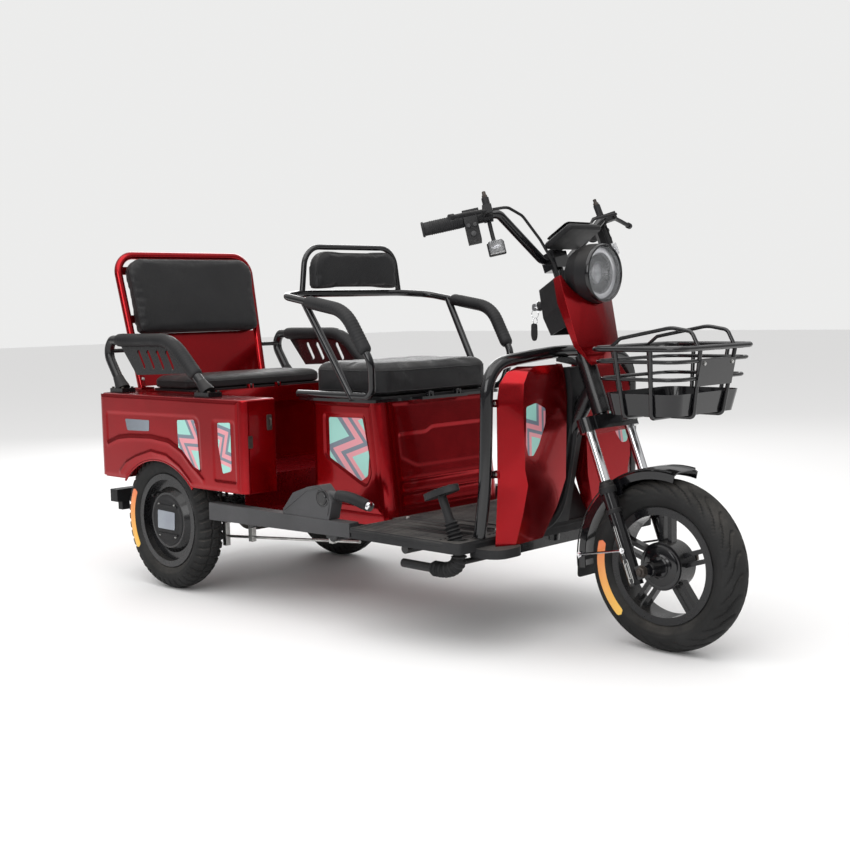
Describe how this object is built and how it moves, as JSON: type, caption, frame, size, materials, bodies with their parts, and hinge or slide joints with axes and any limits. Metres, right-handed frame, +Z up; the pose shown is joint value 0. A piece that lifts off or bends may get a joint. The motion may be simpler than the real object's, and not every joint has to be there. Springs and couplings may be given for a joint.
{
  "type": "electric tricycle",
  "caption": "Passenger electric tricycle with a steered front wheel, basket, driver seat box with armrests, leg guard and a rear bench between side boxes.",
  "frame": {"origin": "bottom centre of the bounding box, on the ground", "axes": "+X forward, +Y to the rider's left, +Z up"},
  "size_m": [2.1407, 0.78, 1.0912],
  "materials": {
    "tyre_rubber": "matte",
    "black_enamel": "gloss",
    "red_enamel": "gloss, metallic",
    "red_plastic": "gloss, metallic",
    "black_plastic": "satin",
    "mat_rubber": "matte",
    "grip_rubber": "satin",
    "black_vinyl": "satin",
    "chrome_plate": "mirror",
    "axle_iron": "painted",
    "zinc_steel": "satin",
    "lamp_red": "gloss",
    "lamp_amber": "gloss",
    "lamp_grey": "gloss",
    "lamp_glass": "clear",
    "cell_case": "matte"
  },
  "bodies": {
    "chassis": {"main_frame": "black_enamel", "footboard": "mat_rubber", "leg_guard": "black_enamel", "leg_shield_right": "red_plastic", "leg_shield_left": "red_plastic", "column_cover": "black_plastic", "seat_base": "red_enamel", "battery_pack": "cell_case", "seat_frame": "black_enamel", "headrest_pad": "black_vinyl", "side_pod_right": "red_enamel", "side_pod_left": "red_enamel", "rear_floor": "red_enamel", "bench_box": "red_enamel", "tail_lights": "lamp_red", "rear_bumper": "black_enamel", "backrest_frame": "red_enamel", "backrest_pad": "black_vinyl", "rear_arm_right": "black_enamel", "rear_arm_left": "black_enamel", "arm_pads": "grip_rubber", "rear_axle": "axle_iron", "leaf_springs": "black_enamel", "side_skirts": "black_enamel", "parking_brake": "black_enamel", "brake_pedal": "black_plastic", "brake_rods": "zinc_steel"},
    "fork_and_bars": {"fork_yoke": "black_enamel", "stanchions": "chrome_plate", "fork_legs": "black_enamel", "front_mudguard": "black_plastic", "handlebar": "black_enamel", "grips": "grip_rubber", "controls": "black_plastic", "turn_signals": "lamp_amber", "brake_cables": "grip_rubber", "dash": "black_plastic", "headlight": "lamp_grey", "headlight_lens": "lamp_glass", "cowl": "red_plastic", "column_shroud": "black_plastic", "basket": "black_enamel"},
    "front_road_wheel": {"front_tyre": "tyre_rubber", "front_wheel": "black_enamel"},
    "rear_road_wheel_right": {"rear_tyre_right": "tyre_rubber", "rear_wheel_right": "black_enamel"},
    "rear_road_wheel_left": {"rear_tyre_left": "tyre_rubber", "rear_wheel_left": "black_enamel"},
    "driver_lid": {"driver_seat_board": "black_plastic", "driver_cushion": "black_vinyl"},
    "bench_lid": {"bench_seat_board": "black_plastic", "bench_cushion": "black_vinyl"}
  },
  "joints": [
    {"name": "steering", "type": "hinge", "parent": "chassis", "child": "fork_and_bars", "pos_m": [0.65836, 0, 0.60884], "axis": [-0.3502, 0, 0.9367], "range_deg": [-38, 38]},
    {"name": "front_wheel_spin", "type": "hinge", "parent": "fork_and_bars", "child": "front_road_wheel", "pos_m": [0.866, 0, 0.208], "axis": [0, 1, 0], "continuous": true},
    {"name": "rear_wheel_spin_right", "type": "hinge", "parent": "chassis", "child": "rear_road_wheel_right", "pos_m": [-0.679, -0.3325, 0.208], "axis": [0, 1, 0], "continuous": true},
    {"name": "rear_wheel_spin_left", "type": "hinge", "parent": "chassis", "child": "rear_road_wheel_left", "pos_m": [-0.679, 0.3325, 0.208], "axis": [0, 1, 0], "continuous": true},
    {"name": "driver_lid_hinge", "type": "hinge", "parent": "chassis", "child": "driver_lid", "pos_m": [0.14, 0, 0.599], "axis": [0, 1, 0], "range_deg": [0, 75]},
    {"name": "bench_lid_hinge", "type": "hinge", "parent": "chassis", "child": "bench_lid", "pos_m": [-0.646, 0, 0.598], "axis": [0, 1, 0], "range_deg": [0, 85]}
  ]
}
